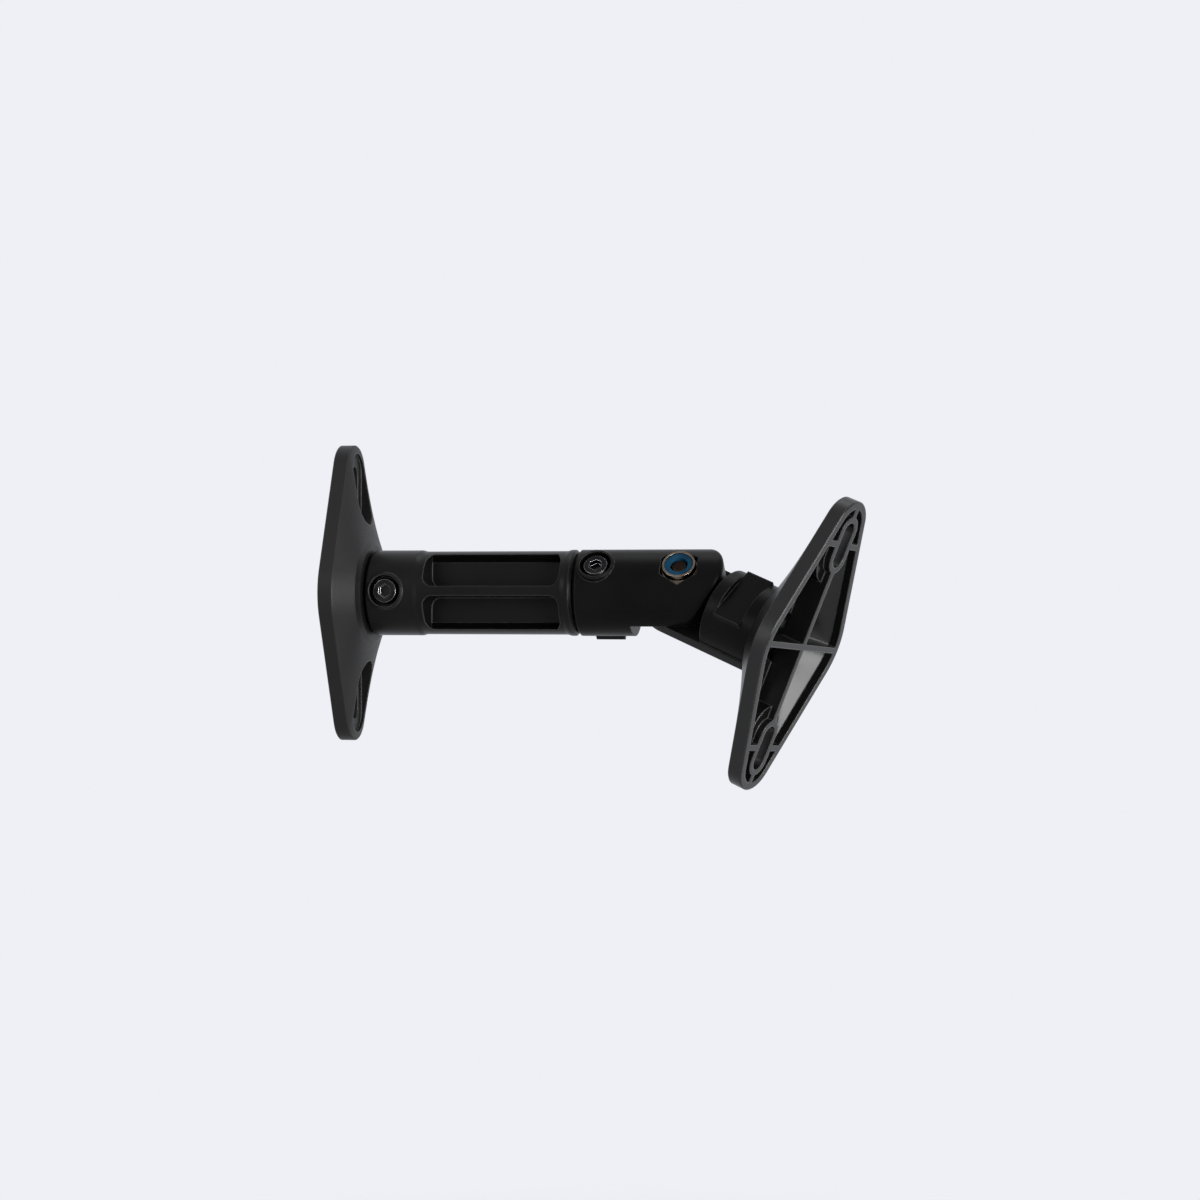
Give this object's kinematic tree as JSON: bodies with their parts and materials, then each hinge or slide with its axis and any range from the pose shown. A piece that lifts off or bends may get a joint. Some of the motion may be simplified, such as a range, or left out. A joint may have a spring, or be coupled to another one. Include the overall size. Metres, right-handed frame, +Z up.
{
  "type": "speaker wall mount bracket",
  "caption": "Jointed black plastic wall bracket for a small loudspeaker: diamond wall plate, round ribbed arm, lapped tilt joint and a matching diamond plate for the speaker",
  "frame": {"origin": "middle of the wall plate's back face, where it meets the wall", "axes": "+X out of the wall along the arm, +Z up along the wall plate's long axis, +Y to the right when facing the wall"},
  "size_m": [0.1529, 0.0562, 0.0972],
  "materials": {
    "black_plastic": "satin black moulded plastic with a fine grain",
    "black_screw_steel": "black oxide steel, slightly glossy",
    "zinc_steel": "bright zinc plated steel",
    "blue_nylon": "blue nylon",
    "insert_brass": "plain turned brass"
  },
  "bodies": {
    "wall_plate": {"wall_plate": "black_plastic"},
    "arm": {"arm": "black_plastic", "arm_set_screw": "black_screw_steel", "arm_screw_insert": "insert_brass"},
    "swivel": {"swivel_body": "black_plastic", "swivel_set_screw": "black_screw_steel", "swivel_screw_insert": "insert_brass", "pivot_bolt": "zinc_steel", "pivot_head_washer": "zinc_steel", "pivot_lock_nut": "zinc_steel", "lock_nut_ring": "blue_nylon"},
    "knuckle": {"knuckle": "black_plastic", "knuckle_set_screw": "black_screw_steel", "knuckle_screw_insert": "insert_brass"},
    "speaker_plate": {"speaker_plate": "black_plastic"}
  },
  "joints": [
    {"name": "arm_turn", "type": "hinge", "parent": "wall_plate", "child": "arm", "pos_m": [0.01033, 0, 0], "axis": [1, 0, 0], "continuous": true},
    {"name": "swivel_turn", "type": "hinge", "parent": "arm", "child": "swivel", "pos_m": [0.07063, 0, 0], "axis": [1, 0, 0], "continuous": true},
    {"name": "tilt", "type": "hinge", "parent": "swivel", "child": "knuckle", "pos_m": [0.10093, 0, 0], "axis": [0, 0.766, -0.6428], "range_deg": [-119, 61]},
    {"name": "plate_turn", "type": "hinge", "parent": "knuckle", "child": "speaker_plate", "pos_m": [0.12717, -0.00935, -0.01114], "axis": [0.8746, -0.3116, -0.3714], "continuous": true}
  ]
}
